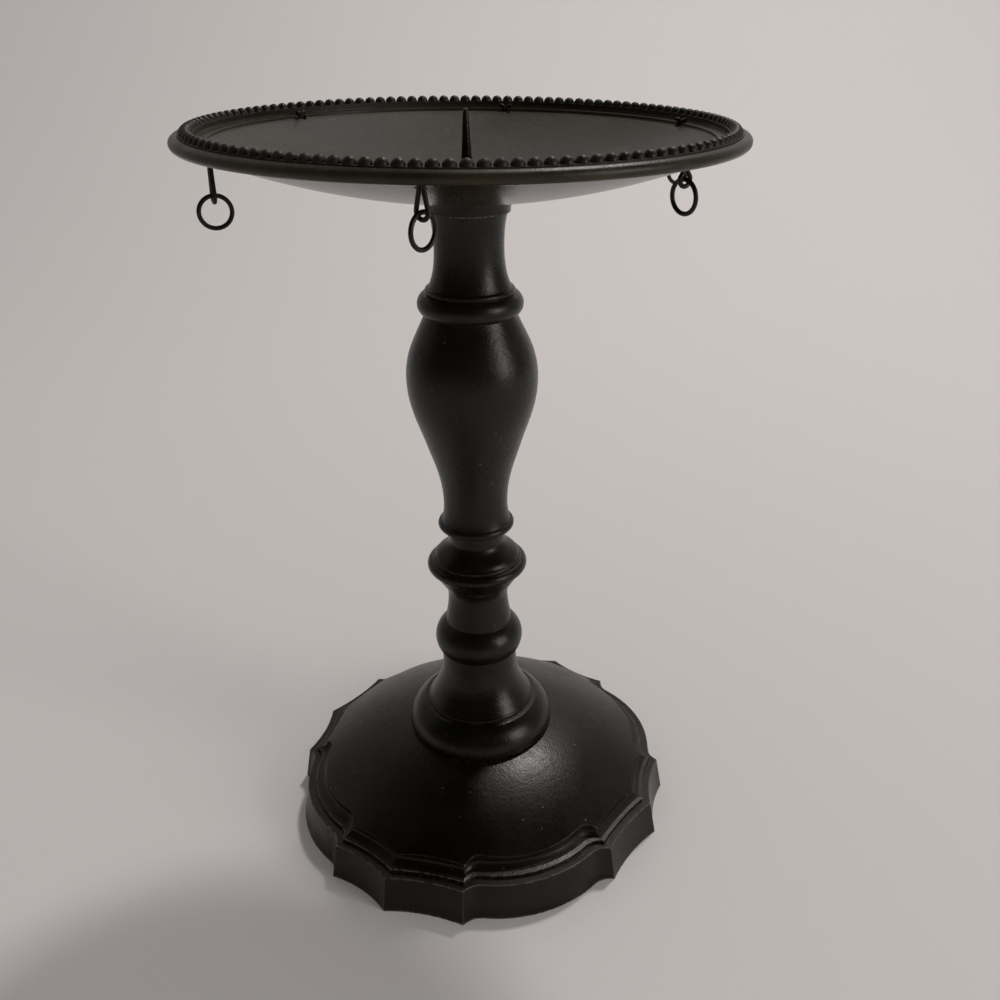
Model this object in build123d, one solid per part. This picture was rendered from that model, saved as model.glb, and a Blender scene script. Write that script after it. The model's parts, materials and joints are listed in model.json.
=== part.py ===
# Pillar candle holder: a scalloped cast base, a turned column in stacked pieces, a shallow drip pan
# with a beaded rim and a spike, and six wire hangers with a loose ring in each.
# Millimetres, +Z up, origin on the table under the middle of the base.
from build123d import *
import os
from math import cos, pi, radians, sin, sqrt

# Heights of the stacked pieces, from the table up
base_height = 21.0
bell_height = 22.0
ball_height = 18.6
knop_height = 14.7
vase_height = 50.7
capital_height = 24.5

# Base outline: four broad brackets, with two short hollows between each pair of them.
# Every radius is measured in or out from the points at the ends of the brackets.
bracket_count = 4
bracket_turn = 16.9
bracket_half = 23.3
flick_start = 17.5
side_point_r = 46.7
corner_out = 0.5
corner_lean = 1.2
flick_in = 1.9
flick_curl = 0.15
bracket_in = 0.8
hollow_in = 1.7
hollow_softening = 0.07

# Base section: flared skirt, step, cove, domed field
skirt_height = 8.5
skirt_flare = 1.5
skirt_wall = 2.2
step_inset = 3.5
step_height = 0.8
cove_width = 2.7
cove_height = 1.6
cove_facets = 4
cove_wall = 3.2
dome_lap = 0.2
dome_mid_drop = 3.6
dome_wall = 2.4
dome_mid_wall = 3.0
boss_r = 13.0

# Tie rod with its nut and washer
rod_r = 2.0
rod_clearance = 0.25
rod_chamfer = 0.4
rod_below_nut = 2.0
thread_clearance = 0.03
nut_across_flats = 7.0
nut_height = 3.2
washer_r = 9.0
washer_thickness = 1.2

# Foot bell, with heights above its own foot
collar_r = 17.6
collar_edge = 0.4
collar_swell = 1.15
collar_top_r = 13.9
collar_height = 7.3
ridge_r = 12.7
ridge_height = 1.0
bell_waist_r = 8.95
bell_waist_up = 18.8

# Ball and cove
ball_foot_r = 9.45
ball_r = 10.45
ball_up = 2.75
ball_top_r = 8.1
ball_top_up = 7.85
cove_r = 7.05
cove_up = 15.0
cove_top_r = 8.1

# Ringed knop
knop_foot_r = 8.35
knop_r = 11.65
knop_up = 4.9
knop_half = 1.3
knop_edge = 0.75
thin_ring_r = 10.4
thin_ring_height = 1.0
knop_dome_r = 9.9
knop_dome_height = 3.7
knop_neck_r = 6.35

# Vase
vase_bead_r = 8.75
vase_bead_height = 1.5
vase_bead_edge = 0.3
vase_foot_r = 8.0
waist_r = 7.3
waist_up = 5.9
rise_r = 10.75
rise_up = 21.5
rise_slope = 0.31
belly_r = 14.35
belly_up = 36.5
shoulder_r = 9.8

# Capital
torus_r = 11.3
torus_height = 4.4
torus_edge = 1.2
neck_ring_r = 9.55
neck_ring_height = 1.1
neck_foot_r = 8.8
neck_r = 7.32
neck_up = 13.8
neck_top_r = 8.25
cap_lip_r = 8.75
cap_lip_height = 0.45
cap_height = 3.1
cap_r = 9.8
cap_swell = 0.2
groove = 0.12

# Drip pan, with heights above the top of the column. Its radii are worked out from the lip inwards.
pan_wall = 1.2
lip_r = 55.85
lip_width = 1.75
lip_bottom_up = 10.85
lip_top_up = 13.1
lip_round = 0.55
lip_flat = 0.6
band_width = 2.8
rim_seat_up = 12.4
ledge_width = 2.1
ledge_up = 12.0
ledge_step = 0.5
bowl_inset = 5.35
bowl_edge_up = 9.95

# Beaded band on the rim
bead_pitch = 2.59
bead_r = 1.22
band_height = 0.95
band_clearance = 0.05

# Spike that the candle is pushed on
spike_length = 15.4
spike_hub_r = 4.2
spike_hub_height = 2.6
spike_hub_chamfer = 0.5
spike_root_r = 1.1
spike_root_height = 2.4
spike_root_hollow = 0.75
spike_shoulder_r = 0.55
spike_tip_r = 0.25
spike_point = 0.6
spike_socket = 2.0
socket_clearance = 0.1

# Wire hangers and their rings; a drop is from the ledge down to the ring's top wire.
# A shift is how many degrees a hole lies off its even place round the pan.
hanger_count = 6
hanger_first_turn = 19.5
hanger_from_ledge_edge = 0.3
hanger_wire_r = 0.42
hanger_bend_r = 1.2
hanger_side_bend_r = 0.8
foot_flat = 0.01
leg_gap = 0.09
leg_reach = 1.5
leg_lift = 0.12
leg_bend_r = 0.55
neck_below_pan = 0.3
loop_shoulder = 0.3
loop_slant = 0.6
hole_clearance = 0.2
hanger_shifts = [1.1, -0.8, -1.5, 2.0, 2.2, 0.0]
hanger_turns = [12, -10, 20, 0, -30, -17]
ring_drops = [6.9, 7.7, 6.1, 8.7, 6.15, 4.1]
ring_r = 2.95
ring_wire_r = 0.42

# Seats and places, worked out from the sizes above
bell_z = base_height
ball_z = bell_z + bell_height
knop_z = ball_z + ball_height
vase_z = knop_z + knop_height
capital_z = vase_z + vase_height
pan_z = capital_z + capital_height
pan_floor_z = pan_z + pan_wall
ledge_z = pan_z + ledge_up
rim_seat_z = pan_z + rim_seat_up
bore_r = rod_r + rod_clearance
web_z = base_height - dome_wall
washer_z = web_z - washer_thickness
nut_z = washer_z - nut_height
cove_inset = step_inset + cove_width
dome_edge_r = side_point_r + corner_out - cove_inset + dome_lap
lip_inner_r = lip_r - lip_width
rim_inner_r = lip_inner_r - band_width
ledge_r = rim_inner_r - ledge_width
bowl_edge_r = lip_r - bowl_inset
bowl_mid_r = (cap_r + bowl_edge_r) / 2
bead_ring_r = (rim_inner_r + lip_inner_r) / 2
bead_count = round(2 * pi * bead_ring_r / bead_pitch)
hanger_circle_r = ledge_r + hanger_from_ledge_edge


class Section:
    """A half section drawn from point to point, with radius r and height z, then turned on the axis."""

    def __init__(self, r, z):
        self.start = Vector(r, 0, z)
        self.here = self.start
        self.edges = []

    def step(self, edge, r, z):
        self.edges.append(edge)
        self.here = Vector(r, 0, z)
        return self

    def line(self, r, z):
        return self.step(Line(self.here, (r, 0, z)), r, z)

    def arc(self, middle_r, middle_z, r, z):
        return self.step(ThreePointArc(self.here, (middle_r, 0, middle_z), (r, 0, z)), r, z)

    def curve(self, r, z, leave=(0, 1), arrive=(0, 1)):
        """A smooth stretch that leaves and arrives along the two directions (dr, dz)."""
        tangents = [(leave[0], 0, leave[1]), (arrive[0], 0, arrive[1])]
        return self.step(Spline(self.here, (r, 0, z), tangents=tangents), r, z)

    def turned(self):
        self.line(self.start.X, self.start.Z)
        return revolve(make_face(self.edges), Axis.Z)


def arch(low_z, edge_r, edge_z, r):
    """Height at radius r of a round bowl that is lowest at low_z and passes the edge."""
    rise = edge_z - low_z
    radius = (edge_r ** 2 + rise ** 2) / (2 * rise)
    return low_z + radius - sqrt(radius ** 2 - r ** 2)


def pan_underside(r):
    return arch(pan_z, bowl_edge_r, pan_z + bowl_edge_up, r)


def polar(radius, degrees, z=0.0):
    return Vector(radius * cos(radians(degrees)), radius * sin(radians(degrees)), z)


def scallop(inset, z):
    """The base's outline at height z, drawn in by inset. The short hollows get shallower inwards."""

    def point(turn, drawn_in=0.0):
        return polar(side_point_r - drawn_in - inset, turn, z)

    edges = []
    spacing = 360 / bracket_count
    flick_mid = (bracket_half + flick_start) / 2
    softened = 1 - hollow_softening * inset
    hollow = hollow_in * softened
    for number in range(bracket_count):
        centre = bracket_turn + spacing * number
        side = centre + bracket_half
        following = centre + spacing - bracket_half
        corner = centre + spacing / 2 + (corner_lean if number % 2 else -corner_lean)
        first = point(centre - bracket_half)
        enter = point(centre - flick_start, flick_in)
        leave = point(centre + flick_start, flick_in)
        middle = point(corner, -corner_out * softened)
        edges += [
            ThreePointArc(first, point(centre - flick_mid, flick_in - flick_curl), enter),
            ThreePointArc(enter, point(centre, bracket_in), leave),
            ThreePointArc(leave, point(centre + flick_mid, flick_in - flick_curl), point(side)),
            ThreePointArc(point(side), point((side + corner) / 2, hollow), middle),
            ThreePointArc(middle, point((corner + following) / 2, hollow), point(following)),
        ]
    return make_face(edges)


def base():
    """The cast base: flared skirt, a step, a hollow cove and the domed top, hollow underneath."""
    step_top = skirt_height + step_height
    cove_top = step_top + cove_height
    body = loft([scallop(0, 0), scallop(skirt_flare, skirt_height)], ruled=True)
    body += extrude(scallop(step_inset, skirt_height), step_height)
    turns = [radians(90 / cove_facets * facet) for facet in range(cove_facets + 1)]
    cove = [(step_inset + cove_width * sin(turn), cove_top - cove_height * cos(turn)) for turn in turns]
    body += loft([scallop(inset, z) for inset, z in cove], ruled=True)
    dome_mid_r = (collar_r + dome_edge_r) / 2
    dome_mid_z = base_height - dome_mid_drop
    dome = (Section(0, 0).line(dome_edge_r, 0).line(dome_edge_r, cove_top)
            .arc(dome_mid_r, dome_mid_z, collar_r, base_height).line(0, base_height).turned())
    body += extrude(scallop(cove_inset, 0), base_height) & dome
    skirt_room = skirt_height - skirt_wall
    hollow_r = side_point_r - cove_inset - cove_wall
    body -= extrude(scallop(skirt_flare + skirt_wall, 0), skirt_room)
    body -= (Section(0, 0).line(hollow_r, 0).line(hollow_r, skirt_room)
             .arc(dome_mid_r, dome_mid_z - dome_mid_wall, boss_r, web_z).line(0, web_z).turned())
    return body - Pos(0, 0, base_height) * Cylinder(bore_r, 4 * dome_wall)


def foot_bell():
    """The bell with its wide collar, standing on the base."""
    collar_z = bell_z + collar_height
    swell_r = (collar_r + collar_top_r) / 2 + collar_swell
    ridge_z = collar_z + groove
    return (Section(bore_r, bell_z)
            .line(collar_r - collar_edge, bell_z).line(collar_r, bell_z + collar_edge)
            .arc(swell_r, bell_z + collar_height / 2 + collar_edge, collar_top_r, collar_z)
            .line(ridge_r, ridge_z)
            .arc(ridge_r + groove, ridge_z + ridge_height / 2, ridge_r - 2 * groove, ridge_z + ridge_height)
            .curve(bell_waist_r, bell_z + bell_waist_up, leave=(-0.55, 1))
            .line(bell_waist_r, ball_z).line(bore_r, ball_z).turned())


def lower_ball():
    """The ball, with the cove above it that flares out to the knop."""
    top = ball_z + ball_top_up
    inner = ball_top_r - 2 * groove
    return (Section(bore_r, ball_z).line(ball_foot_r - groove, ball_z).line(ball_foot_r, ball_z + groove)
            .arc(ball_r, ball_z + ball_up, ball_top_r, top)
            .line(inner, top + groove)
            .curve(cove_r, ball_z + cove_up, leave=(-0.12, 1))
            .curve(cove_top_r, knop_z, arrive=(0.6, 1)).line(bore_r, knop_z).turned())


def ringed_knop():
    """The knop: a fat ring, a thin ring and a small dome that runs up to a neck."""
    middle = knop_z + knop_up
    low = middle - knop_half
    high = middle + knop_half
    thin_top = high + thin_ring_height
    dome_top = thin_top + knop_dome_height
    return (Section(bore_r, knop_z).line(knop_foot_r, knop_z)
            .curve(knop_r - knop_edge, low, leave=(0.6, 1), arrive=(0.9, 1))
            .arc(knop_r, middle, knop_r - knop_edge, high)
            .line(thin_ring_r - 2 * groove, high + groove)
            .arc(thin_ring_r, high + thin_ring_height / 2, thin_ring_r - 2 * groove, thin_top - groove)
            .line(knop_dome_r, thin_top)
            .curve(knop_neck_r, dome_top, leave=(-0.35, 1), arrive=(-0.35, 1))
            .line(knop_neck_r, vase_z).line(bore_r, vase_z).turned())


def vase():
    """The vase, from the small bead at its foot to the shoulder under the capital."""
    bead_top = vase_z + vase_bead_height
    edge = vase_bead_r - vase_bead_edge
    rise = (rise_slope, 1)
    return (Section(bore_r, vase_z).line(edge, vase_z)
            .arc(vase_bead_r, vase_z + vase_bead_height / 2, edge, bead_top)
            .line(vase_foot_r, bead_top + groove)
            .curve(waist_r, vase_z + waist_up, leave=(-0.4, 1))
            .curve(rise_r, vase_z + rise_up, arrive=rise)
            .curve(belly_r, vase_z + belly_up, leave=rise)
            .curve(shoulder_r, capital_z, arrive=(-0.4, 1)).line(bore_r, capital_z).turned())


def capital():
    """The neck, from the torus on the vase to the flared cap under the pan."""
    torus_foot = torus_r - torus_edge
    torus_top = capital_z + torus_height
    ring_top = torus_top + neck_ring_height + groove
    lip_z = pan_z - cap_height
    cap_z = lip_z + cap_lip_height
    return (Section(bore_r, capital_z).line(torus_foot, capital_z)
            .arc(torus_r, capital_z + torus_height / 2, torus_foot, torus_top)
            .line(neck_ring_r - 2 * groove, torus_top + groove)
            .arc(neck_ring_r, (torus_top + ring_top) / 2, neck_ring_r - 3 * groove, ring_top)
            .line(neck_foot_r, ring_top + groove)
            .curve(neck_r, capital_z + neck_up, leave=(-0.5, 1))
            .curve(neck_top_r, lip_z, arrive=(0.35, 1))
            .line(cap_lip_r, lip_z).line(cap_lip_r, cap_z)
            .arc((cap_lip_r + cap_r) / 2 - cap_swell, (cap_z + pan_z) / 2, cap_r, pan_z)
            .line(bore_r, pan_z).turned())


def drip_pan():
    """The shallow pan: a round bowl, a ledge with the hanger holes and a rolled lip."""
    edge_z = pan_z + bowl_edge_up
    lip_low = pan_z + lip_bottom_up
    lip_high = pan_z + lip_top_up
    inner_edge_z = ledge_z - ledge_step
    pan = (Section(bore_r, pan_z).line(cap_r, pan_z)
           .arc(bowl_mid_r, pan_underside(bowl_mid_r), bowl_edge_r, edge_z)
           .line(lip_inner_r - lip_flat, lip_low).line(lip_r - lip_round, lip_low)
           .arc(lip_r, (lip_low + lip_high) / 2, lip_r - lip_round, lip_high - lip_round / 2)
           .line(lip_r - 2 * lip_round, lip_high).line(lip_inner_r, lip_high)
           .line(lip_inner_r, rim_seat_z).line(rim_inner_r, rim_seat_z).line(rim_inner_r, ledge_z)
           .line(ledge_r, ledge_z).line(ledge_r, inner_edge_z)
           .arc(bowl_mid_r, arch(pan_floor_z, ledge_r, inner_edge_z, bowl_mid_r), cap_r, pan_floor_z)
           .line(bore_r, pan_floor_z).turned())
    hole_r = leg_gap / 2 + 2 * hanger_wire_r + hole_clearance
    for number in range(hanger_count):
        pan -= Pos(*hanger_place(number, ledge_z)) * Cylinder(hole_r, 8 * pan_wall)
    return pan


def bead_band():
    """The ring of round beads that stands on the rim."""
    inner = rim_inner_r + band_clearance
    outer = lip_inner_r - band_clearance
    top = rim_seat_z + band_height
    band = Section(inner, rim_seat_z).line(outer, rim_seat_z).line(outer, top).line(inner, top).turned()
    bead = Sphere(bead_r, arc_size1=0, align=(Align.CENTER, Align.CENTER, Align.MIN))
    places = PolarLocations(bead_ring_r, bead_count)
    return band + [Pos(0, 0, top) * place * bead for place in places]


def spike():
    """The pricket: a low hub on the pan's floor, threaded on the tie rod, and a tapered spike."""
    hub_top = pan_floor_z + spike_hub_height
    socket_top = pan_floor_z + spike_socket
    tip_z = pan_floor_z + spike_length
    hole = rod_r + thread_clearance
    hollow_r = spike_root_r + spike_root_hollow
    return (Section(hole, pan_floor_z).line(spike_hub_r, pan_floor_z)
            .line(spike_hub_r, hub_top - spike_hub_chamfer)
            .line(spike_hub_r - spike_hub_chamfer, hub_top)
            .arc(hollow_r, hub_top + spike_root_hollow, spike_root_r, hub_top + spike_root_height)
            .line(spike_shoulder_r, tip_z - spike_point).line(spike_tip_r, tip_z).line(0, tip_z)
            .line(0, socket_top).line(hole, socket_top).turned())


def tie_rod():
    """The rod that holds the whole stack together."""
    top = pan_floor_z + spike_socket - socket_clearance
    bottom = nut_z - rod_below_nut
    end_r = rod_r - rod_chamfer
    return (Section(0, bottom).line(end_r, bottom).line(rod_r, bottom + rod_chamfer)
            .line(rod_r, top - rod_chamfer).line(end_r, top).line(0, top).turned())


def base_washer():
    washer = Section(bore_r, washer_z).line(washer_r, washer_z).line(washer_r, web_z)
    return washer.line(bore_r, web_z).turned()


def base_nut():
    hexagon = RegularPolygon(nut_across_flats / 2, 6, major_radius=False)
    nut = Pos(0, 0, nut_z) * extrude(hexagon, nut_height)
    return nut - Pos(0, 0, nut_z) * Cylinder(rod_r + thread_clearance, 4 * nut_height)


def hanger_turn(number):
    return hanger_first_turn + 360 / hanger_count * number + hanger_shifts[number]


def hanger_place(number, z):
    return polar(hanger_circle_r, hanger_turn(number), z)


def hanger(number):
    """A hairpin wire loop whose two legs go up through the pan and are bent apart on the ledge."""
    pivot = ledge_z - ring_drops[number]
    leg = leg_gap / 2 + hanger_wire_r
    top = ledge_z + leg_lift + hanger_wire_r
    neck = pan_underside(hanger_circle_r) - neck_below_pan
    shoulder = min(pivot + loop_shoulder, neck - loop_slant)
    foot = pivot - hanger_bend_r
    half = [(leg_reach, top), (leg, top), (leg, neck), (hanger_bend_r, shoulder), (hanger_bend_r, foot)]
    points = [Vector(-u, 0, z) for u, z in half] + [Vector(u, 0, z) for u, z in reversed(half)]
    bend = hanger_bend_r - foot_flat
    side = hanger_side_bend_r
    path = FilletPolyline(*points, radius=[leg_bend_r, side, side, bend, bend, side, side, leg_bend_r])
    wire = sweep(Plane(origin=points[0], z_dir=(1, 0, 0)) * Circle(hanger_wire_r), path=path)
    return Pos(*hanger_place(number, 0)) * Rot(0, 0, hanger_turn(number) + 90 + hanger_turns[number]) * wire


def ring(number):
    """A loose wire ring that hangs in its loop, square to it."""
    centre = hanger_place(number, ledge_z - ring_drops[number] - ring_r)
    turn = hanger_turn(number) + hanger_turns[number]
    return Pos(*centre) * Rot(0, 0, turn) * Rot(90, 0, 0) * Torus(ring_r, ring_wire_r)


parts = {
    "base": base(),
    "foot_bell": foot_bell(),
    "lower_ball": lower_ball(),
    "ringed_knop": ringed_knop(),
    "vase": vase(),
    "capital": capital(),
    "drip_pan": drip_pan(),
    "bead_band": bead_band(),
    "spike": spike(),
    "tie_rod": tie_rod(),
    "base_washer": base_washer(),
    "base_nut": base_nut(),
}
for number in range(hanger_count):
    parts[f"hanger_{number + 1}"] = hanger(number)
    parts[f"ring_{number + 1}"] = ring(number)

os.makedirs("parts", exist_ok=True)
for name, solid in parts.items():
    solid.label = name
    export_step(solid, f"parts/{name}.step")
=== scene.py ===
import json
from math import cos, pi, radians, sin

import bpy
from mathutils import Matrix, Vector

# The looks of a pricket candle holder in dark bronze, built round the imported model. Metres, +Z up.

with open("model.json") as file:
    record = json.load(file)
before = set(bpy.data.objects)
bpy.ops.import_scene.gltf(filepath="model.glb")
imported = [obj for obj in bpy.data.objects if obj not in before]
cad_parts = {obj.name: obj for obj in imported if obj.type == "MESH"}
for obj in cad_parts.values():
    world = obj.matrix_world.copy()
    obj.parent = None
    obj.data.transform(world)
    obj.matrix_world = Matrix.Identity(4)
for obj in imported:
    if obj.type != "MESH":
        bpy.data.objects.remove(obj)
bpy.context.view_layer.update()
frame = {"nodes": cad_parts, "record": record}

# The camera, fitted to the photograph: its place, its turn and its lens in pixels of a 1000-pixel frame
camera_height = 0.188271
camera_back = 0.212108
camera_pitch = radians(24.591)
camera_roll = radians(-0.399)
camera_yaw = radians(4.558)
camera_clip = 0.01
focal_pixels = 1025.845
centre_pixel = (549.077, 464.801)
frame_pixels = 1000
sensor_mm = 36.0

# The stage: a floor with a few stops along it, and a bend up to a backdrop
stage_half_width = 4.0
floor_stops = (-0.6, -0.2, 0.2)
backdrop_start = 0.40
backdrop_bend = 0.45
backdrop_top = 1.1
bend_steps = 24
pale = (0.78, 0.752, 0.75)
cloth_roughness = 0.9
cloth_specular = 0.1

# The light that comes from everywhere. Reflections find it dim on the viewer's side and overhead.
fill_strength = 0.37
camera_strength = 1.0
sky = (0.72, 0.70, 0.69)
front_dim, back_bright = 0.05, 0.85
front_until, back_from = -0.15, 0.55
overhead_dim = 0.12
overhead_from, overhead_full = 0.45, 0.85

# The lamps, aimed at the column. Turns are degrees to the right of the viewer's side, and rises degrees up.
lamp_colour = (1.0, 0.97, 0.93)
lamp_aim = Vector((0.0, 0.0, 0.06))
lamps = (
    {"name": "window", "turn": 60.0, "rise": 18.0, "distance": 1.5,
     "width": 0.50, "height": 0.75, "watts": 7.0},
    {"name": "ceiling", "turn": 149.0, "rise": 59.0, "distance": 1.2,
     "width": 0.12, "height": 0.12, "watts": 4.6},
)

# The paint's patterns, in repeats per metre, and their relief in metres
cloud_scale, patch_scale, chip_scale, fleck_scale, grain_scale = 45.0, 160.0, 620.0, 900.0, 2400.0
patch_relief, chip_relief, fleck_relief, grain_relief = 0.00004, -0.00006, 0.000042, 0.00004
edge_reach, nook_reach = 0.0006, 0.0024
patch_lift = 1.5
patch_share = 0.5
nook_brown = (0.026, 0.0135, 0.0078)
nook_share = 0.9
least_wear = 0.1
chip_share = 0.5
chip_tone = 0.7
chip_roughness = 0.3
paint_specular = 0.3
occlusion_samples = 8
bevel_samples = 6

# The finishes. deep and light are the two tones of the paint, and the worn tone shows on rubbed edges: partly
# worn paint, partly a painted highlight along the edges.
# gloss is the roughness from the most polished to the dullest patch, and underside that of faces that look down.
paints = {
    # The bright worn tone of dark_bronze is also a painted highlight: it stands in for the glints of light along
    # its sharp edges.
    "dark_bronze": {"deep": (0.0034, 0.0027, 0.0014), "light": (0.0068, 0.0053, 0.0032),
                    "worn_and_glint": (0.21, 0.165, 0.125), "rub_glint_share": 0.9,
                    "gloss": (0.25, 0.38), "round_edge": 0.0003},
    "pan_bronze": {"deep": (0.015, 0.0113, 0.0052), "light": (0.030, 0.0228, 0.0112),
                   "worn_and_glint": (0.085, 0.066, 0.048), "rub_glint_share": 0.4,
                   "gloss": (0.36, 0.5), "round_edge": 0.0003, "underside": 0.2},
    "bead": {"deep": (0.0085, 0.0066, 0.004), "light": (0.018, 0.0142, 0.0092),
             "worn_and_glint": (0.035, 0.027, 0.019), "rub_glint_share": 0.3,
             "gloss": (0.42, 0.55), "round_edge": 0.0001},
    "wire": {"deep": (0.0035, 0.0027, 0.002), "light": (0.006, 0.0047, 0.0036),
             "worn_and_glint": (0.03, 0.023, 0.017), "rub_glint_share": 0.2,
             "gloss": (0.32, 0.42), "round_edge": 0.0001},
}
zinc_dull, zinc_bright = (0.32, 0.31, 0.29), (0.46, 0.45, 0.42)
zinc_gloss = (0.32, 0.5)
zinc_scale = 400.0
zinc_relief = 0.00003
zinc_round_edge = 0.0002


def direction(turn, rise):
    """A unit vector that points turn degrees to the right of the viewer's side and rise degrees up."""
    t, e = radians(turn), radians(rise)
    return Vector((sin(t) * cos(e), -cos(t) * cos(e), sin(e)))


def add_camera():
    level = cos(camera_pitch)
    forward = Vector((sin(camera_yaw) * level, cos(camera_yaw) * level, -sin(camera_pitch)))
    right = Vector((cos(camera_yaw), -sin(camera_yaw), 0.0))
    down = forward.cross(right)
    x_axis = cos(camera_roll) * right + sin(camera_roll) * down
    y_axis = sin(camera_roll) * right - cos(camera_roll) * down
    data = bpy.data.cameras.new("camera")
    data.sensor_width = sensor_mm
    data.lens = focal_pixels * sensor_mm / frame_pixels
    data.shift_x = (frame_pixels / 2 - centre_pixel[0]) / frame_pixels
    data.shift_y = (centre_pixel[1] - frame_pixels / 2) / frame_pixels
    data.clip_start = camera_clip
    data.dof.use_dof = False
    camera = bpy.data.objects.new("camera", data)
    turn = Matrix((x_axis, y_axis, -forward)).transposed().to_4x4()
    camera.matrix_world = Matrix.Translation((0.0, -camera_back, camera_height)) @ turn
    bpy.context.scene.collection.objects.link(camera)
    bpy.context.scene.camera = camera


class Nodes:
    """A small helper that adds shader nodes to a tree and links them."""

    def __init__(self, tree):
        self.tree = tree
        tree.nodes.clear()

    def add(self, kind, **settings):
        node = self.tree.nodes.new(kind)
        for key, value in settings.items():
            setattr(node, key, value)
        return node

    def put(self, socket, value):
        if hasattr(value, "is_output"):
            self.tree.links.new(value, socket)
        else:
            socket.default_value = value

    def math(self, operation, a, b=0.0, clamp=False):
        node = self.add("ShaderNodeMath", operation=operation, use_clamp=clamp)
        self.put(node.inputs[0], a)
        self.put(node.inputs[1], b)
        return node.outputs[0]

    def mix(self, factor, a, b):
        node = self.add("ShaderNodeMix", data_type="RGBA")
        self.put(node.inputs["Factor"], factor)
        self.put(node.inputs[6], a)
        self.put(node.inputs[7], b)
        return node.outputs[2]

    def spread(self, value, low, high, to_low=0.0, to_high=1.0):
        """Moves a value smoothly from to_low to to_high as it goes from low to high."""
        node = self.add("ShaderNodeMapRange", interpolation_type="SMOOTHSTEP")
        for socket, given in zip(node.inputs, (value, low, high, to_low, to_high)):
            self.put(socket, given)
        return node.outputs[0]

    def noise(self, place, per_metre, detail=3.0, roughness=0.5):
        node = self.add("ShaderNodeTexNoise")
        self.put(node.inputs["Vector"], place)
        self.put(node.inputs["Scale"], per_metre)
        self.put(node.inputs["Detail"], detail)
        self.put(node.inputs["Roughness"], roughness)
        return node.outputs["Fac"]

    def near(self, distance, inside):
        """How open a point is within a distance: 1 on an open surface, towards 0 at an edge or in a nook."""
        node = self.add("ShaderNodeAmbientOcclusion", inside=inside, samples=occlusion_samples)
        self.put(node.inputs["Distance"], distance)
        return node.outputs["AO"]

    def heights(self, *pairs):
        """The sum of height fields, each with its depth in metres."""
        total = self.math("MULTIPLY", *pairs[0])
        for field, depth in pairs[1:]:
            total = self.math("ADD", total, self.math("MULTIPLY", field, depth))
        return total

    def surface(self, shader, kind="ShaderNodeOutputMaterial"):
        """Adds the output."""
        out = self.add(kind)
        self.put(out.inputs["Surface"], shader.outputs[0])


def new_material(name):
    material = bpy.data.materials.new(name)
    material.use_nodes = True
    return material, Nodes(material.node_tree)


def rgb(r, g, b):
    return (r, g, b, 1.0)


def finish_with(n, shader, height, round_edge):
    """Adds the relief, with sharp edges that catch light as if rounded, and the output."""
    rounded = n.add("ShaderNodeBevel", samples=bevel_samples)
    rounded.inputs["Radius"].default_value = round_edge
    bump = n.add("ShaderNodeBump")
    bump.inputs["Strength"].default_value = 1.0
    bump.inputs["Distance"].default_value = 1.0
    n.put(bump.inputs["Height"], height)
    n.put(bump.inputs["Normal"], rounded.outputs[0])
    n.put(shader.inputs["Normal"], bump.outputs[0])
    n.surface(shader)


def bronze(name, deep, light, worn_and_glint, gloss, rub_glint_share, round_edge, underside=None):
    """Dark bronze paint: blotches, a fine grain, brown in the nooks, rubbed edges that are partly worn paint and
    partly a painted edge highlight, and a few chips.
    """
    material, n = new_material(name)
    place = n.add("ShaderNodeTexCoord").outputs["Object"]
    cloud = n.noise(place, cloud_scale, 4.0, 0.62)
    patch = n.noise(place, patch_scale, 3.0, 0.55)
    fleck = n.noise(place, fleck_scale, 3.0, 0.6)
    grain = n.noise(place, grain_scale, 2.0, 0.6)

    edge = n.spread(n.near(edge_reach, True), 0.82, 0.48)
    nook = n.spread(n.near(nook_reach, False), 0.88, 0.5)
    # Convex edges get the rubbed tone: partly worn paint, partly a painted highlight along the edges.
    rub_and_glint = n.math("MULTIPLY", edge, n.spread(fleck, 0.36, 0.6, least_wear, rub_glint_share))
    brown = n.math("MULTIPLY", nook, n.spread(fleck, 0.42, 0.6, least_wear, nook_share))
    chip = n.math("MULTIPLY", n.spread(n.noise(place, chip_scale, 2.0, 0.5), 0.735, 0.77), chip_share)

    paint = n.mix(n.spread(cloud, 0.34, 0.68), rgb(*deep), rgb(*light))
    lifted = rgb(*(patch_lift * c for c in light))
    paint = n.mix(n.spread(patch, 0.5, 0.75, 0.0, patch_share), paint, lifted)
    paint = n.mix(brown, paint, rgb(*nook_brown))
    # The rubbed-edge colour goes on here: worn paint and painted edge highlight.
    paint = n.mix(rub_and_glint, paint, rgb(*worn_and_glint))
    paint = n.mix(chip, paint, rgb(*(chip_tone * c for c in worn_and_glint)))

    shader = n.add("ShaderNodeBsdfPrincipled")
    n.put(shader.inputs["Base Color"], paint)
    polish = n.math("ADD", n.math("MULTIPLY", cloud, 0.7), n.math("MULTIPLY", fleck, 0.3))
    rough = n.spread(polish, 0.36, 0.66, *gloss)
    if underside is not None:
        facing = n.add("ShaderNodeSeparateXYZ")
        n.put(facing.inputs[0], n.add("ShaderNodeNewGeometry").outputs["Normal"])
        down = n.spread(facing.outputs["Z"], -0.2, -0.6)
        rest = n.math("MULTIPLY", rough, n.math("SUBTRACT", 1.0, down))
        rough = n.math("ADD", rest, n.math("MULTIPLY", down, underside))
    dulled = n.math("ADD", rough, n.math("MULTIPLY", chip, chip_roughness), clamp=True)
    n.put(shader.inputs["Roughness"], dulled)
    shader.inputs["Specular IOR Level"].default_value = paint_specular
    height = n.heights((grain, grain_relief), (fleck, fleck_relief),
                       (patch, patch_relief), (chip, chip_relief))
    finish_with(n, shader, height, round_edge)
    return material


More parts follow.
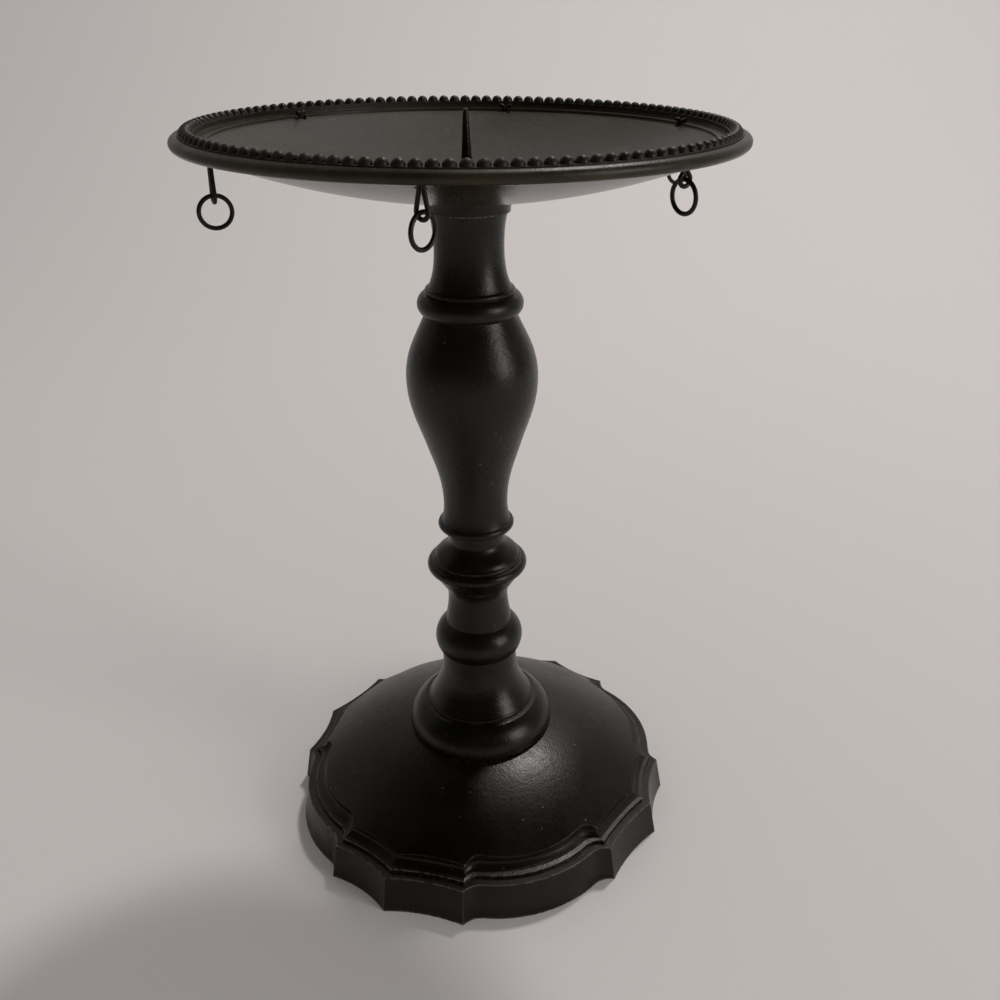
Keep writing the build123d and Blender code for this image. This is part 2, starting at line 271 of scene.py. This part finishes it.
def steel(name):
    """Zinc-plated steel, cloudy and a little dull, for the rod, its nut and its washer."""
    material, n = new_material(name)
    place = n.add("ShaderNodeTexCoord").outputs["Object"]
    cloud = n.noise(place, zinc_scale, 4.0)
    shader = n.add("ShaderNodeBsdfPrincipled")
    n.put(shader.inputs["Base Color"], n.mix(cloud, rgb(*zinc_dull), rgb(*zinc_bright)))
    n.put(shader.inputs["Roughness"], n.spread(cloud, 0.3, 0.7, *zinc_gloss))
    shader.inputs["Metallic"].default_value = 1.0
    finish_with(n, shader, n.math("MULTIPLY", cloud, zinc_relief), zinc_round_edge)
    return material


def add_stage():
    """A pale cloth floor that bends up into a backdrop."""
    profile = [(-stage_half_width, 0.0)] + [(y, 0.0) for y in floor_stops]
    for step in range(bend_steps + 1):
        turn = pi / 2 * step / bend_steps
        profile.append((backdrop_start + backdrop_bend * sin(turn), backdrop_bend * (1 - cos(turn))))
    profile.append((backdrop_start + backdrop_bend, backdrop_top))
    verts = [(side * stage_half_width, y, z) for y, z in profile for side in (-1, 1)]
    faces = [(2 * i, 2 * i + 1, 2 * i + 3, 2 * i + 2) for i in range(len(profile) - 1)]
    mesh = bpy.data.meshes.new("floor")
    mesh.from_pydata(verts, [], faces)
    mesh.shade_smooth()
    floor = bpy.data.objects.new("floor", mesh)
    bpy.context.scene.collection.objects.link(floor)
    material, n = new_material("floor_cloth")
    shader = n.add("ShaderNodeBsdfPrincipled")
    shader.inputs["Base Color"].default_value = rgb(*pale)
    shader.inputs["Roughness"].default_value = cloth_roughness
    shader.inputs["Specular IOR Level"].default_value = cloth_specular
    n.surface(shader)
    mesh.materials.append(material)


def add_world():
    """Even pale light. Reflections see it dim on the viewer's side and overhead, and pale behind."""
    world = bpy.data.worlds.new("studio")
    world.use_nodes = True
    bpy.context.scene.world = world
    n = Nodes(world.node_tree)
    apart = n.add("ShaderNodeSeparateXYZ")
    n.put(apart.inputs[0], n.add("ShaderNodeTexCoord").outputs["Generated"])
    back = n.spread(apart.outputs["Y"], front_until, back_from, front_dim, back_bright)
    high = n.spread(apart.outputs["Z"], overhead_from, overhead_full, 1.0, overhead_dim)
    path = n.add("ShaderNodeLightPath")
    mirrored = n.math("MULTIPLY", back, high)
    strength = n.spread(path.outputs["Is Glossy Ray"], 0.0, 1.0, fill_strength, mirrored)
    strength = n.spread(path.outputs["Is Camera Ray"], 0.0, 1.0, strength, camera_strength)
    shader = n.add("ShaderNodeBackground")
    n.put(shader.inputs["Color"], rgb(*sky))
    n.put(shader.inputs["Strength"], strength)
    n.surface(shader, "ShaderNodeOutputWorld")


def add_lamp(name, turn, rise, distance, width, height, watts):
    """A soft rectangular lamp that looks at the column."""
    data = bpy.data.lights.new(name, "AREA")
    data.shape = "RECTANGLE"
    data.size, data.size_y = width, height
    data.energy = watts
    data.color = lamp_colour
    lamp = bpy.data.objects.new(name, data)
    lamp.location = lamp_aim + distance * direction(turn, rise)
    lamp.rotation_euler = (lamp_aim - lamp.location).to_track_quat("-Z", "Y").to_euler()
    bpy.context.scene.collection.objects.link(lamp)


def add_finishes():
    """Gives each piece its finish by its material slot. The band of beads is duller than its slot."""
    finish = {slot: bronze(slot + "_finish", **paint) for slot, paint in paints.items()}
    finish["plain_steel"] = steel("plain_steel_finish")
    for part in frame["record"]["subparts"]:
        slot = "bead" if part["node"] == "bead_band" else part["material_slot"]
        materials = frame["nodes"][part["node"]].data.materials
        materials.clear()
        materials.append(finish[slot])


add_camera()
add_world()
add_stage()
for lamp in lamps:
    add_lamp(**lamp)
add_finishes()
bpy.context.scene.view_settings.view_transform = "Standard"
